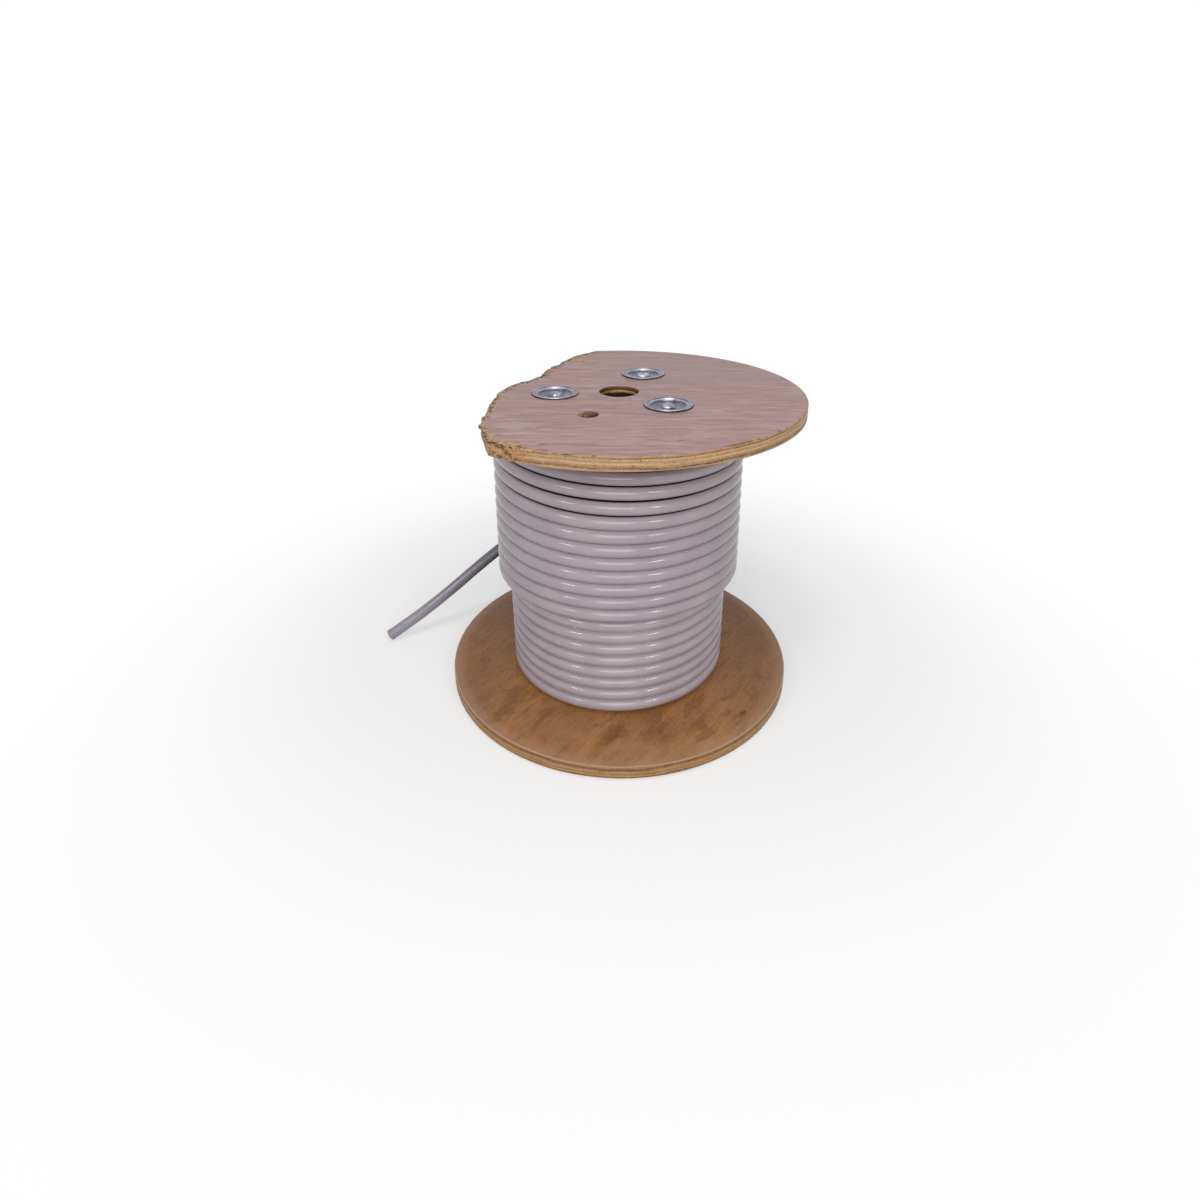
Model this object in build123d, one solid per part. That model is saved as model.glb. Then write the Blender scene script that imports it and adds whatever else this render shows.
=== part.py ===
from build123d import *
import os
from math import cos, radians, sin

# Wooden cable drum, standing on end, with a part-used coil of cable and a broken top flange.
# Millimetres. +Z is the drum's axis, and Z is zero where the lower cup washers meet the floor.

# Flanges
flange_diameter = 400.0
flange_thickness = 14.0
inner_width = 314.0
bore_diameter = 43.0
pin_hole_diameter = 21.0
pin_hole_reach = 88.0
pin_hole_angle = -110.0

# Barrel
barrel_diameter = 221.0
barrel_wall = 6.0
barrel_groove_depth = 3.0
barrel_groove_clearance = 0.2

# Tie rods
rod_count = 3
rod_diameter = 8.0
rod_circle_radius = 73.5
rod_circle_place = (3.3, 4.5)
rod_first_angle = 70.0
rod_hole_clearance = 0.5
rod_head_diameter = 15.0
rod_head_height = 3.2
rod_head_chamfer = 1.4

# Cup washers
cup_diameter = 50.0
cup_sheet = 1.5
cup_proud = 2.5
cup_depth = 2.0
cup_floor_diameter = 33.0
cup_crown_diameter = 41.0
cup_seat_clearance = 0.3

# Cable
cable_diameter = 14.0
bare_turns = 9
outer_pitch = 15.0
winding_clearance = 0.2
groove_depth = 4.0
tail_angle = 110.0
turn_gap_angle = 30.0

# Break in the top flange: degrees round the axis, and the share of the flange's radius that is left.
break_line_shares = [
    (-124.0, 1.030), (-126.0, 1.000), (-131.7, 0.936), (-138.5, 0.880), (-146.6, 0.792),
    (-154.3, 0.730), (-165.1, 0.683), (-175.2, 0.652), (175.0, 0.638), (170.3, 0.620),
    (162.4, 0.600), (157.5, 0.568), (149.0, 0.564), (143.0, 0.573), (137.9, 0.596),
    (127.7, 0.679), (121.8, 0.716), (113.4, 0.823), (107.2, 0.896), (101.3, 0.968), (97.0, 1.010),
]
# How far each ply stands out past the top veneer, from the top ply down, as a share of the same radius.
ply_step_shares = [0.0, 0.014, 0.024, 0.012, 0.034]
# The cutting outline closes outside the flange along these angles, at this share of its radius.
outside_angles = [100.0, 130.0, 160.0, 190.0, 220.0, 236.0]
outside_share = 1.2

# Route of the cable's free end, from the lowest outer turn to the floor.
tail_route = [
    (-45.11, 123.94, 144.95),
    (-80.82, 110.94, 144.95),
    (-123.9, 95.1, 131.0),
    (-171.6, 78.5, 95.3),
    (-223.0, 60.2, 54.1),
    (-262.7, 45.2, 26.4),
    (-295.4, 32.2, 6.9),
]
tail_run_share = 0.45

# Width of a turn's outermost flat, as a share of the cable's diameter.
crown_flat_share = 0.42

# Sizes that follow
flange_radius = flange_diameter / 2
barrel_radius = barrel_diameter / 2
barrel_bore_radius = barrel_radius - barrel_wall
ply_thickness = flange_thickness / len(ply_step_shares)
rod_hole_radius = rod_diameter / 2 + rod_hole_clearance
cable_radius = cable_diameter / 2
inner_turns = int(inner_width / cable_diameter)
inner_pitch = inner_width / inner_turns
inner_layer_radius = barrel_radius + winding_clearance
outer_layer_radius = inner_layer_radius + cable_diameter + winding_clearance
cup_floor_radius = cup_floor_diameter / 2
cup_crown_radius = cup_crown_diameter / 2
cup_rise_slope = (cup_crown_radius - cup_floor_radius) / (cup_depth + cup_proud)

# Heights
bottom_outside = cup_proud
bottom_inside = bottom_outside + flange_thickness
top_inside = bottom_inside + inner_width
top_outside = top_inside + flange_thickness
middle = (bottom_outside + top_outside) / 2
outer_layer_start = bottom_inside + bare_turns * inner_pitch
outer_turns = 1 + int((top_inside - outer_layer_start - cable_radius) / outer_pitch)

# The rods' circle stands a little off the bore's centre, as the holes in the photo do.
rod_places = Locations(*[
    Pos(*rod_circle_place) * place for place in PolarLocations(rod_circle_radius, rod_count, rod_first_angle)
])


def cup_section():
    """Half section of a cup washer, with Z zero at the wood's face and up out of the wood."""
    upper = [
        (rod_hole_radius, -cup_depth),
        (cup_floor_radius, -cup_depth),
        (cup_crown_radius, cup_proud),
        (cup_diameter / 2, cup_proud),
    ]
    lower = [(across, up - cup_sheet) for across, up in reversed(upper)]
    return upper + lower


def cup_washer():
    """One pressed cup, turned about its own axis."""
    with BuildPart() as cup:
        with BuildSketch(Plane.XZ):
            with BuildLine():
                Polyline(*cup_section(), close=True)
            make_face()
        revolve(axis=Axis.Z)
    return cup.part


def flange():
    """A whole flange, with its outer face up at zero and its inner face one thickness below."""
    seat_floor = cup_depth + cup_sheet
    seat_floor_radius = cup_floor_radius + cup_seat_clearance
    seat_mouth_radius = seat_floor_radius + seat_floor * cup_rise_slope
    groove_inner = barrel_bore_radius - barrel_groove_clearance
    groove_outer = barrel_radius + barrel_groove_clearance
    with BuildPart() as plate:
        Cylinder(flange_radius, flange_thickness, align=(Align.CENTER, Align.CENTER, Align.MAX))
        with BuildSketch(Plane.XY):
            Circle(bore_diameter / 2)
            with Locations(Rot(0, 0, pin_hole_angle) * Pos(pin_hole_reach, 0)):
                Circle(pin_hole_diameter / 2)
            with rod_places:
                Circle(rod_hole_radius)
        extrude(amount=-flange_thickness, mode=Mode.SUBTRACT)
        with rod_places:
            Cone(seat_floor_radius, seat_mouth_radius, seat_floor,
                 align=(Align.CENTER, Align.CENTER, Align.MAX), mode=Mode.SUBTRACT)
        with BuildSketch(Plane.XY.offset(-flange_thickness)):
            Circle(groove_outer)
            Circle(groove_inner, mode=Mode.SUBTRACT)
        extrude(amount=barrel_groove_depth, mode=Mode.SUBTRACT)
    return plate.part


def missing_ply(step_share):
    """Outline of the wood that has gone from one ply, as a face on the ground plane."""
    outline = [
        (reach * (1 + step_share) * flange_radius * cos(radians(angle)),
         reach * (1 + step_share) * flange_radius * sin(radians(angle)))
        for angle, reach in break_line_shares
    ]
    outline += [
        (outside_share * flange_radius * cos(radians(angle)),
         outside_share * flange_radius * sin(radians(angle)))
        for angle in outside_angles
    ]
    with BuildSketch() as face:
        with BuildLine():
            Polyline(*outline, close=True)
        make_face()
    return face.sketch


def broken_flange():
    """The top flange, with each ply torn off along its own line."""
    broken = flange()
    for ply, step_share in enumerate(ply_step_shares):
        gone = extrude(missing_ply(step_share), amount=-ply_thickness)
        broken = broken - Pos(0, 0, -ply * ply_thickness) * gone
    return broken


def barrel():
    """Plain tube, its ends on the floors of the flanges' grooves."""
    length = inner_width + 2 * barrel_groove_depth
    ring = Circle(barrel_radius) - Circle(barrel_bore_radius)
    tube = extrude(ring, amount=length)
    return Pos(0, 0, bottom_inside - barrel_groove_depth) * tube


def tie_rod():
    """One rod on the drum's axis, with a round upset head seated in each cup."""
    shank = top_outside - bottom_outside - 2 * cup_depth
    head_place = shank / 2 + rod_head_height / 2
    with BuildPart() as rod:
        Cylinder(rod_diameter / 2, shank)
        for side in (1, -1):
            with Locations(Pos(0, 0, side * head_place)):
                Cylinder(rod_head_diameter / 2, rod_head_height)
        ends = rod.edges().filter_by(GeomType.CIRCLE).sort_by(Axis.Z)
        chamfer([ends[0], ends[-1]], rod_head_chamfer)
    return Pos(0, 0, middle) * rod.part


def layer_section(first, count, pitch, radius, low, high):
    """Section of a layer: three flats round each turn that shows, and a groove between turns."""
    crown = radius + cable_diameter
    groove = crown - groove_depth
    flat = crown_flat_share * cable_diameter
    edge = [(radius, low), (groove, low)]
    for turn in range(count):
        centre = first + turn * pitch
        edge += [(crown, centre - flat / 2), (crown, centre + flat / 2)]
        edge.append((groove, min(centre + pitch / 2, high)))
    edge.append((radius, edge[-1][1]))
    with BuildSketch(Plane.XZ) as section:
        with BuildLine():
            Polyline(*edge, close=True)
        make_face()
    return section.sketch


def inner_layer():
    """The full inner layer. Above the turns that show, where the outer layer covers it, it is plain."""
    bare_top = bottom_inside + bare_turns * inner_pitch
    bare = layer_section(bottom_inside + inner_pitch / 2, bare_turns, inner_pitch,
                         inner_layer_radius, bottom_inside, bare_top)
    cover_radius = inner_layer_radius + cable_diameter
    ring = Circle(cover_radius) - Circle(inner_layer_radius)
    covered = Pos(0, 0, bare_top) * extrude(ring, amount=top_inside - bare_top)
    return revolve(bare, axis=Axis.Z) + covered


def outer_layer():
    """The outer layer. Its lowest turn stops where the free end leaves it, and starts again past that."""
    low = outer_layer_start - cable_radius
    lowest_top = outer_layer_start + outer_pitch / 2
    high = outer_layer_start + (outer_turns - 1) * outer_pitch + cable_radius
    upper = layer_section(outer_layer_start + outer_pitch, outer_turns - 1, outer_pitch,
                          outer_layer_radius, lowest_top, high)
    lowest = layer_section(outer_layer_start, 1, outer_pitch, outer_layer_radius, low, lowest_top)
    leaving = revolve(lowest, axis=Axis.Z, revolution_arc=360 - turn_gap_angle)
    return revolve(upper, axis=Axis.Z) + Rot(0, 0, tail_angle + turn_gap_angle) * leaving


def tail_radii():
    """Radius of the arc at each inner point of the route, as large as its two runs allow."""
    points = [Vector(*point) for point in tail_route]
    radii = []
    for before, here, after in zip(points, points[1:], points[2:]):
        turn = (here - before).get_angle(after - here)
        run = min((here - before).length, (after - here).length)
        radii.append(tail_run_share * run / tan_of_half(turn))
    return radii


def tan_of_half(turn):
    """Tangent of half an angle in degrees."""
    half = radians(turn) / 2
    return sin(half) / cos(half)


def tail():
    """The free end of the cable, a round tube along straight runs joined by tangent arcs."""
    radii = tail_radii()
    path = FilletPolyline(*tail_route, radius=radii)
    section = Plane(origin=path @ 0, z_dir=path % 0) * Circle(cable_radius)
    print("tail radii", [round(radius) for radius in radii], "length", round(path.length, 1))
    return sweep(section, path=path)


pieces = {
    "top_flange": Pos(0, 0, top_outside) * broken_flange(),
    "bottom_flange": Pos(0, 0, bottom_outside) * Rot(180, 0, 0) * mirror(flange(), about=Plane.XZ),
    "core_barrel": barrel(),
    "cable_inner_layer": inner_layer(),
    "cable_outer_layer": outer_layer(),
    "cable_tail": tail(),
}
for number, place in enumerate(rod_places, start=1):
    pieces[f"tie_rod_{number}"] = place * tie_rod()
    pieces[f"cup_washer_top_{number}"] = Pos(0, 0, top_outside) * place * cup_washer()
    pieces[f"cup_washer_bottom_{number}"] = Pos(0, 0, bottom_outside) * place * Rot(180, 0, 0) * cup_washer()

os.makedirs("parts", exist_ok=True)
for node, piece in pieces.items():
    export_step(piece, f"parts/{node}.step")
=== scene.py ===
import bmesh
import bpy
import numpy as np
from mathutils import Matrix, Vector


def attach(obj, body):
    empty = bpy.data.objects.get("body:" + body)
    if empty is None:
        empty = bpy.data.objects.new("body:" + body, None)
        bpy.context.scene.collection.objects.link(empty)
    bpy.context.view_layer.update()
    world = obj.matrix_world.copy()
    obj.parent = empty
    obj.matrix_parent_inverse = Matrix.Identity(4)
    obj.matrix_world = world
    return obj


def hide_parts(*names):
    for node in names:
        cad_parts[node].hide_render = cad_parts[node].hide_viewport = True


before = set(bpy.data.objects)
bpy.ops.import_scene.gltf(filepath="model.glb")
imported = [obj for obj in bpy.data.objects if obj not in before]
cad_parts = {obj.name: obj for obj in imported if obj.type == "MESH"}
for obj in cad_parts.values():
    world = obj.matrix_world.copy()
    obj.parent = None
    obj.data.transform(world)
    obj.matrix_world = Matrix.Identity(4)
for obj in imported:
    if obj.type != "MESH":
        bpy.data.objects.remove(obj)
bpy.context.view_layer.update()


# Flanges
# Two round boards of five-ply, sawn from sheet, with a bore for the spindle, a hole for the driving pin,
# three seats for the cup washers and a groove for the barrel. The back left of the top board is torn off.

mm = 0.001
flange_radius = 200.0
flange_thickness = 14.0
bore_radius = 21.5
groove_floor = 11.0
groove_inner, groove_outer = 104.3, 110.7
bottom_outside, bottom_inside = 2.5, 16.5
top_outside = 344.5
pin_hole_radius, pin_hole_reach, pin_hole_angle = 10.5, 88.0, -110.0
rod_centre, rod_reach, rod_angles = (3.3, 4.5), 73.5, (70.0, 190.0, 310.0)
seat_floor, seat_floor_radius, seat_slope = 3.5, 16.8, 0.889
rod_hole_radius = 4.5
cup_radius = 25.0

# The tear, by degrees round the axis: the share of the radius that is left of the top veneer, and how much
# further each ply below it reaches.
tear_angles = [97.0, 101.3, 107.2, 113.4, 121.8, 127.7, 137.9, 143.0, 149.0, 157.5, 162.4, 170.3, 175.0,
               184.8, 194.9, 205.7, 213.4, 221.5, 228.3, 234.0, 236.0]
tear_shares = [1.010, 0.968, 0.896, 0.823, 0.716, 0.679, 0.596, 0.573, 0.564, 0.568, 0.600, 0.620, 0.638,
               0.652, 0.683, 0.730, 0.792, 0.880, 0.936, 1.000, 1.030]
ply_steps = [0.0, 0.014, 0.024, 0.012, 0.034]
ply_depths = [(0.7, 1.6, 2.65), (2.95, 4.2, 5.45), (5.75, 7.0, 8.25), (8.55, 9.8, 11.05), (11.35, 12.4, 13.3)]
# Towards the front the tear is cleaner: the lower plies step out less, then stand back, and splinter less.
step_angles, step_shares = (195.0, 205.0, 213.0, 221.5, 228.0, 236.0), (1.0, 0.6, 0.0, -0.7, -0.4, 0.1)
fray_angles, fray_shares = (165.0, 190.0, 218.0, 226.0), (0.9, 0.9, 0.9, 0.45)


def drum_mesh(name, points, sections_close=True, flat_angle=35.0):
    """A mesh over a grid of points in millimetres, one row for each section of the surface. Each row closes
    on itself, and the last row may join the first. Points that fall together are merged, open ends are
    capped, faces turn out."""
    rows, columns = points.shape[:2]
    row, column = np.meshgrid(np.arange(rows - (not sections_close)), np.arange(columns), indexing="ij")
    next_row, next_column = (row + 1) % rows, (column + 1) % columns
    corners = [row * columns + column, row * columns + next_column,
               next_row * columns + next_column, next_row * columns + column]
    faces = np.stack([corner.ravel() for corner in corners], axis=1)
    mesh = bpy.data.meshes.new(name)
    mesh.from_pydata((points.reshape(-1, 3) * mm).tolist(), [], faces.tolist())
    shell = bmesh.new()
    shell.from_mesh(mesh)
    bmesh.ops.remove_doubles(shell, verts=shell.verts, dist=0.002 * mm)
    open_edges = [edge for edge in shell.edges if edge.is_boundary]
    if open_edges:
        bmesh.ops.holes_fill(shell, edges=open_edges, sides=0)
    bmesh.ops.recalc_face_normals(shell, faces=shell.faces)
    shell.to_mesh(mesh)
    shell.free()
    mesh.polygons.foreach_set("use_smooth", np.ones(len(mesh.polygons), dtype=bool))
    mesh.set_sharp_from_angle(angle=np.radians(flat_angle))
    piece = bpy.data.objects.new(name, mesh)
    bpy.context.collection.objects.link(piece)
    return piece


def note(piece, label, values):
    """Puts a number on each point of the mesh, for the materials to read."""
    if label not in piece.data.attributes:
        piece.data.attributes.new(label, "FLOAT", "POINT")
    piece.data.attributes[label].data.foreach_set("value", values.astype(np.float32))


def turned(profile, segments, centre=(0.0, 0.0), swell=None):
    """The profile's points (radius, height) carried round a vertical axis. swell gives a factor on the
    radius for each angle."""
    angles = np.linspace(0, 2 * np.pi, segments, endpoint=False)
    radius, height = np.array(profile, dtype=float).T
    reach = radius[:, None] * (np.ones(segments) if swell is None else swell(angles))[None, :]
    return np.stack([centre[0] + reach * np.cos(angles), centre[1] + reach * np.sin(angles),
                     np.broadcast_to(height[:, None], reach.shape)], axis=2)


def spot(reach, angle):
    """The place that far from the axis, that many degrees round it."""
    return reach * np.cos(np.radians(angle)), reach * np.sin(np.radians(angle))


# The rods' circle stands a little off the bore's centre.
rod_places = [tuple(np.add(rod_centre, spot(rod_reach, angle))) for angle in rod_angles]


def ragged(place, spacing, seed):
    """A ragged line: random heights from 0 to 1 at uneven places one spacing apart, straight between them."""
    draw = np.random.default_rng(seed)
    count = int(900 / spacing)
    stops = np.cumsum(draw.uniform(0.35, 1.65, count)) * spacing - 420
    return np.interp(place, stops, draw.random(count))


def board_grid(steps, broken):
    """A board as rings of points, from the bore over the outer face, down the edge of each ply, back over
    the inner face with the barrel's groove, and up the bore. Radius and depth below the outer face are
    functions of the angle. Torn edges are moved along the grain by a ragged line of the place across it.
    Gives the points, and each point's distance from the edge of the outer face."""
    angles = np.linspace(0, 2 * np.pi, steps, endpoint=False)
    degrees = np.degrees(angles)
    untorn = 1.1
    share = np.full(steps, untorn)
    if broken:
        share = np.interp(degrees, tear_angles, tear_shares, left=untorn, right=untorn)
    saw = 0.22 * np.sin(2 * angles + 0.6) - 0.25
    whole = flange_radius + saw
    stepped = np.interp(degrees, step_angles, step_shares)
    fray = np.interp(degrees, fray_angles, fray_shares)
    reaches = [np.minimum(whole - 0.18 * (ply % 2), share * (1 + step * stepped) * flange_radius)
               for ply, step in enumerate(ply_steps)]
    torn = (share * flange_radius < whole).astype(float)
    torn = np.convolve(np.pad(torn, 4, mode="wrap"), np.ones(9) / 9, mode="valid")
    rings = []

    def ring(radius, depth, distance=40.0, ply=0, follow=0.0):
        """One ring. follow is how far it goes with the tear of its ply, from 0 to 1."""
        rough = np.zeros((2, steps))
        across = radius * np.sin(angles) if ply % 2 == 0 else radius * np.cos(angles)
        splinter = fray * (1.8 * ragged(across, 3.4, 11 + ply) ** 2 + 1.0 * ragged(across, 1.5, 31 + ply)
                           + 4.2 * ragged(across, 8.5, 51 + ply) - 3.0)
        lean = 0.8 * fray * (ragged(across, 1.6, int(70 + 10 * depth)) - 0.5)
        if ply % 2 == 0:
            rough[0] = -(splinter + lean) * follow * torn
        else:
            rough[1] = (0.45 * splinter + lean) * follow * torn
            rough[0] = -(lean + fray * ragged(radius * np.sin(angles), 2.2, 91 + ply)) * follow * torn
        rings.append((radius * np.cos(angles) + rough[0], radius * np.sin(angles) + rough[1],
                      np.broadcast_to(depth, (steps,)), np.broadcast_to(distance, (steps,))))

    ring(np.full(steps, bore_radius), 0.8)
    ring(np.full(steps, bore_radius + 0.25), 0.2)
    ring(np.full(steps, bore_radius + 0.9), 0.0)
    for part in (0.1, 0.3, 0.52, 0.76, 1.0):
        ring(bore_radius + 1 + part * (reaches[0] - 26 - bore_radius), 0.0, 25.0 + 40 * (1 - part))
    for distance in (16.0, 10.0, 6.5, 4.5, 3.0, 1.8, 1.0):
        ring(reaches[0] - distance, 0.0, distance, 0, 1 - distance / 20)
    ring(reaches[0] - 0.4, 0.06, 0.4, 0, 1.0)
    ring(reaches[0] - 0.1, 0.25, 0.1, 0, 1.0)
    for ply, depths in enumerate(ply_depths):
        for depth in depths:
            ring(reaches[ply], depth, 0.0, ply, 1.0)
    ring(reaches[4] - 0.12, 13.7, 0.0, 4, 1.0)
    ring(reaches[4] - 0.5, 13.94, 0.4, 4, 0.9)
    ring(reaches[4] - 1.2, 14.0, 1.0, 4, 0.7)
    ring(reaches[4] - 3.0, 14.0, 3.0, 4, 0.3)
    ring(0.55 * reaches[4] + 0.45 * (groove_outer + 1), 14.0, 12.0)
    for radius, depth in ((groove_outer, 14.0), (groove_outer, groove_floor), (groove_inner, groove_floor),
                          (groove_inner, 14.0), (62.0, 14.0), (bore_radius + 0.9, 14.0),
                          (bore_radius + 0.2, 13.8), (bore_radius, 13.2), (bore_radius, 10.5),
                          (bore_radius, 7.0), (bore_radius, 3.6)):
        ring(np.full(steps, radius), depth)
    across, up, depth, distance = (np.array(part) for part in zip(*rings))
    return np.stack([across, up, depth], axis=2), distance, torn


# How far from the edge the veneer has worn through, evenly on the whole board and by degrees round the axis
# on the torn one, and how wide the dark dashed line along the tear is.
even_wear = 1.2
wear_angles = [0, 60, 96, 104, 113, 123, 132, 142, 175, 190, 215, 226, 234,
               238, 243, 250, 256, 264, 272, 296, 299, 302, 307, 310, 335, 360]
wear_reaches = [1.2, 0.5, 0.8, 8.0, 19.0, 7.0, 27.0, 7.0, 7.0, 12.0, 12.0, 11.0, 14.0,
                18.0, 12.0, 6.0, 4.0, 2.5, 1.6, 2.0, 6.0, 8.0, 7.0, 2.5, 1.8, 1.2]
dash_angles = (96.0, 101.0, 165.0, 190.0, 215.0, 240.0, 244.0)
dash_reaches = (0.0, 7.5, 7.0, 4.4, 3.0, 2.2, 0.0)


def board(name, steps, broken, outer, side):
    """One flange. Its outer face is at the height outer and looks up or, with side -1, down."""
    points, distance, torn = board_grid(steps, broken)
    points[:, :, 2] = outer - side * points[:, :, 2]
    piece = drum_mesh(name, points, flat_angle=28.0)
    note(piece, "edge_distance", distance.ravel())
    note(piece, "drawn", np.ones(distance.size))
    drill(piece, outer, side)
    count = len(piece.data.vertices)
    place, kept, drawn = np.empty(count * 3), np.empty(count), np.empty(count)
    piece.data.vertices.foreach_get("co", place)
    piece.data.attributes["edge_distance"].data.foreach_get("value", kept)
    piece.data.attributes["drawn"].data.foreach_get("value", drawn)
    across, up = place.reshape(-1, 3).T[:2]
    degrees = np.degrees(np.arctan2(up, across)) % 360
    # Points that the drilling made lie on holes, far from the board's edge.
    kept[drawn < 0.99] = 40.0
    round_axis = np.linspace(0, 360, steps, endpoint=False)
    outer_part = broken * (np.hypot(across, up) > 60 * mm)
    wear = np.interp(degrees, wear_angles, wear_reaches) if broken else np.full(count, even_wear)
    dash = outer_part * np.interp(degrees, dash_angles, dash_reaches)
    # The edge looks torn for a few degrees past the tear's front end too.
    bruise = 0.9 * np.exp(-((degrees - 240) / 7) ** 2)
    roughened = outer_part * np.maximum(np.interp(degrees, round_axis, torn), bruise)
    for label, values in (("edge_distance", kept), ("wear_reach", wear), ("dash_reach", dash),
                          ("torn", roughened)):
        note(piece, label, values)
    piece.data.attributes.remove(piece.data.attributes["drawn"])
    return piece


def nicked(angles):
    """The pin hole's roundness: 1, with a small bump where its rim is split."""
    return 1 + 0.14 * np.exp(-(np.degrees(np.angle(np.exp(1j * (angles + 1.75)))) / 7) ** 2)


def drill(piece, outer, side):
    """Cuts the pin hole, with the small nick in its rim, and the cup seats with their rod holes."""
    through = flange_thickness + 1
    seat = [(0.0, -0.5), (seat_floor_radius + (seat_floor + 0.5) * seat_slope, -0.5),
            (seat_floor_radius, seat_floor), (rod_hole_radius, seat_floor), (rod_hole_radius, through),
            (0.0, through)]
    pin = [(0.0, -1.0), (pin_hole_radius, -1.0), (pin_hole_radius, through), (0.0, through)]
    cutters = [(pin, spot(pin_hole_reach, pin_hole_angle), nicked)]
    cutters += [(seat, place, None) for place in rod_places]
    for number, (profile, centre, swell) in enumerate(cutters):
        heights = [(radius, outer - side * depth) for radius, depth in profile]
        cutter = drum_mesh(f"cutter_{number}", turned(heights, 72, centre, swell), sections_close=False)
        cut = piece.modifiers.new("hole", "BOOLEAN")
        cut.object, cut.operation, cut.solver = cutter, "DIFFERENCE", "EXACT"
        drilled = bpy.data.meshes.new_from_object(piece.evaluated_get(bpy.context.evaluated_depsgraph_get()))
        piece.modifiers.clear()
        piece.data = drilled
        bpy.data.objects.remove(cutter)
    drilled.name = piece.name


def paint(red, green, blue):
    """A colour as it looks on a screen, 0 to 255, made linear: a power of 2.4 above its dark foot."""
    shown = np.array([red, green, blue]) / 255
    line = np.where(shown <= 0.04045, shown / 12.92, ((shown + 0.055) / 1.055) ** 2.4)
    return (*(float(part) for part in line), 1.0)


def shade(tree, kind, sockets=None, **settings):
    """One shader node. Each socket gets a value, or is joined to another node's output."""
    made = tree.nodes.new("ShaderNode" + kind)
    for setting, choice in settings.items():
        setattr(made, setting, choice)
    for socket, value in (sockets or {}).items():
        if isinstance(value, bpy.types.NodeSocket):
            tree.links.new(value, made.inputs[socket])
        else:
            made.inputs[socket].default_value = value
    return made


def reckon(tree, operation, first, second=0.0):
    """Arithmetic on one or two numbers of the surface."""
    return shade(tree, "Math", {0: first, 1: second}, operation=operation).outputs[0]


def times(tree, first, second):
    """One number of the surface times another."""
    return reckon(tree, "MULTIPLY", first, second)


def rises(tree, value, start, end):
    """0 up to start, 1 from end on, and smooth between."""
    return shade(tree, "MapRange", {"Value": value, "From Min": start, "From Max": end},
                 interpolation_type="SMOOTHSTEP").outputs[0]


def stain(tree, amount, *stops):
    """The colour that the stops (amount, colour) give for an amount from 0 to 1."""
    made = shade(tree, "ValToRGB", {"Fac": amount})
    band = made.color_ramp.elements
    band[0].position, band[0].color = stops[0]
    band[1].position, band[1].color = stops[-1]
    for place, colour in stops[1:-1]:
        band.new(place).color = colour
    return made.outputs["Color"]


def over(tree, amount, below, above, how="MIX"):
    """One colour laid over another as far as the amount says."""
    return shade(tree, "Mix", {0: amount, 6: below, 7: above}, data_type="RGBA", blend_type=how).outputs[2]


def cloud(tree, place, size, detail=3.0, roughness=0.5):
    """Noise from 0 to 1, its clouds the given size in millimetres."""
    return shade(tree, "TexNoise", {"Vector": place, "Scale": 1 / (size * mm), "Detail": detail,
                                    "Roughness": roughness}).outputs["Fac"]


def along_grain(tree, place, degrees, stretch):
    """The place turned to the grain and drawn out along it."""
    return shade(tree, "Mapping", {"Vector": place, "Rotation": (0, 0, np.radians(degrees)),
                                   "Scale": (stretch, 1, 1)}, vector_type="TEXTURE").outputs[0]


def finish(name):
    """A new material, with its nodes, its shader and the place on the object."""
    material = bpy.data.materials.new(name)
    material.use_nodes = True
    tree = material.node_tree
    return material, tree, tree.nodes["Principled BSDF"], shade(tree, "TexCoord").outputs["Object"]


def relief(tree, surface, height, distance):
    """Bump: the height from 0 to 1 stands for that many millimetres."""
    bump = shade(tree, "Bump", {"Height": height, "Distance": distance * mm, "Strength": 1.0})
    tree.links.new(bump.outputs[0], surface.inputs["Normal"])


def inside(tree, place, centre, half_length, half_width, turn=0.0):
    """How far a point is from an oval's centre, 1 on the oval itself, whatever its height."""
    moved = shade(tree, "Mapping", {"Vector": place, "Location": (centre[0] * mm, centre[1] * mm, 0),
                                    "Rotation": (0, 0, np.radians(turn)),
                                    "Scale": (half_length * mm, half_width * mm, 1000)},
                  vector_type="TEXTURE").outputs[0]
    return shade(tree, "VectorMath", {0: moved}, operation="LENGTH").outputs["Value"]


def laid(tree, colour, value, start, end, strength, above):
    """Another colour laid on where the value goes from start to end."""
    return over(tree, times(tree, rises(tree, value, start, end), strength), colour, above)


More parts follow.
